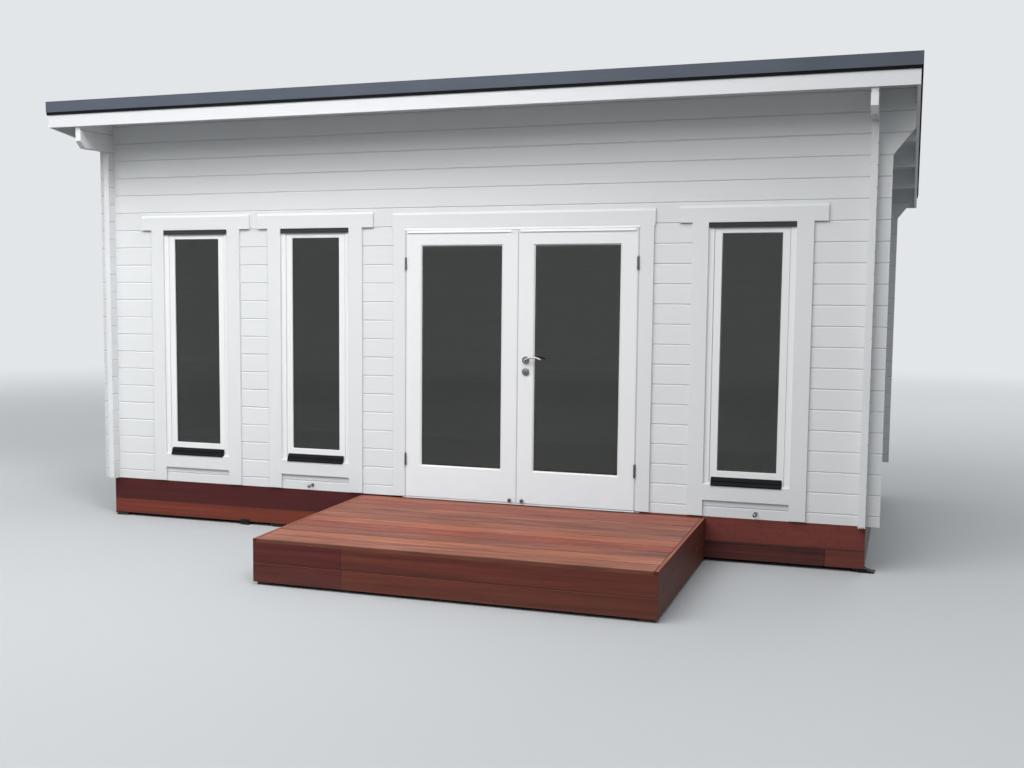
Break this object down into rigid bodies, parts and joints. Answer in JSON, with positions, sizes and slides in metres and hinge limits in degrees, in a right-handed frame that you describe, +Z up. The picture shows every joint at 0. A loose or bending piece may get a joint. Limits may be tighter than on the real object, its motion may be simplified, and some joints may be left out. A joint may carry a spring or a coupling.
{
  "type": "garden office pod",
  "caption": "Free-standing garden office pod of white interlocking logs with a pent roof, tall windows, a glazed double door that opens outwards, and a hardwood deck step.",
  "frame": {"origin": "middle of the whole object on the ground: halfway across the pod, and halfway from the deck's front edge to the rear of the roof", "axes": "+X to the right along the front wall as seen from the garden, +Y from the front wall to the rear wall, +Z up"},
  "size_m": [6.14, 5.279, 3.2218],
  "materials": {
    "white_logs": "satin white paint on timber logs",
    "white_trim": "satin white paint on planed boards",
    "white_joinery": "satin white paint on planed joinery",
    "stained_board": "red-brown stain on rough sawn boards",
    "grey_board": "bare weathered timber",
    "joist_timber": "bare softwood",
    "floor_timber": "clear lacquer",
    "deck_timber": "oiled hardwood boards",
    "roof_metal": "matt dark grey coated steel",
    "roof_foam": "rigid insulation",
    "pane": "clear sealed unit",
    "black_profile": "matt black coating",
    "steel": "satin stainless steel",
    "packer_plastic": "grey moulded packers"
  },
  "bodies": {
    "root": {"ground_packers": "packer_plastic", "front_bearer_upper": "stained_board", "front_bearer_lower": "stained_board", "rear_bearers": "grey_board", "side_bearers": "grey_board", "floor_joists": "joist_timber", "floor_boards": "floor_timber", "front_wall_left": "white_logs", "front_wall_right": "white_logs", "front_wall_top": "white_logs", "rear_wall": "white_logs", "left_wall": "white_logs", "right_wall": "white_logs", "roof_purlins": "white_trim", "roof_boards": "white_trim", "roof_core": "roof_foam", "roof_sheet": "roof_metal", "front_fascia": "white_trim", "rear_fascia": "white_trim", "barge_boards": "white_trim", "front_flashing": "roof_metal", "side_flashings": "roof_metal", "rear_flashing": "roof_metal", "deck_legs": "joist_timber", "deck_rims": "joist_timber", "deck_joists": "joist_timber", "deck_boards": "deck_timber", "deck_front_fascia": "deck_timber", "deck_side_fascias": "deck_timber", "door_frame": "white_joinery", "door_trim": "white_trim", "door_stops": "steel", "frame_hinges": "steel", "window_trims": "white_trim", "window_frames": "white_joinery", "window_sashes": "white_joinery", "window_glass": "pane", "window_drips": "black_profile"},
    "left_door": {"left_leaf": "white_joinery", "left_glass": "pane", "left_leaf_hardware": "steel"},
    "right_door": {"right_leaf": "white_joinery", "right_glass": "pane", "right_leaf_hardware": "steel"},
    "lever": {"lever_handle": "steel"}
  },
  "joints": [
    {"name": "left_door_hinge", "type": "hinge", "parent": "root", "child": "left_door", "pos_m": [-0.328, -0.9075, 1.3], "axis": [0, 0, -1], "range_deg": [0, 174]},
    {"name": "right_door_hinge", "type": "hinge", "parent": "root", "child": "right_door", "pos_m": [1.34, -0.9075, 1.3], "axis": [0, 0, 1], "range_deg": [0, 174]},
    {"name": "lever_turn", "type": "hinge", "parent": "right_door", "child": "lever", "pos_m": [0.5675, -0.8775, 1.326], "axis": [0, 1, 0], "range_deg": [0, 40], "stiffness_Nm_per_rad": 1, "springref_deg": -17.19}
  ]
}
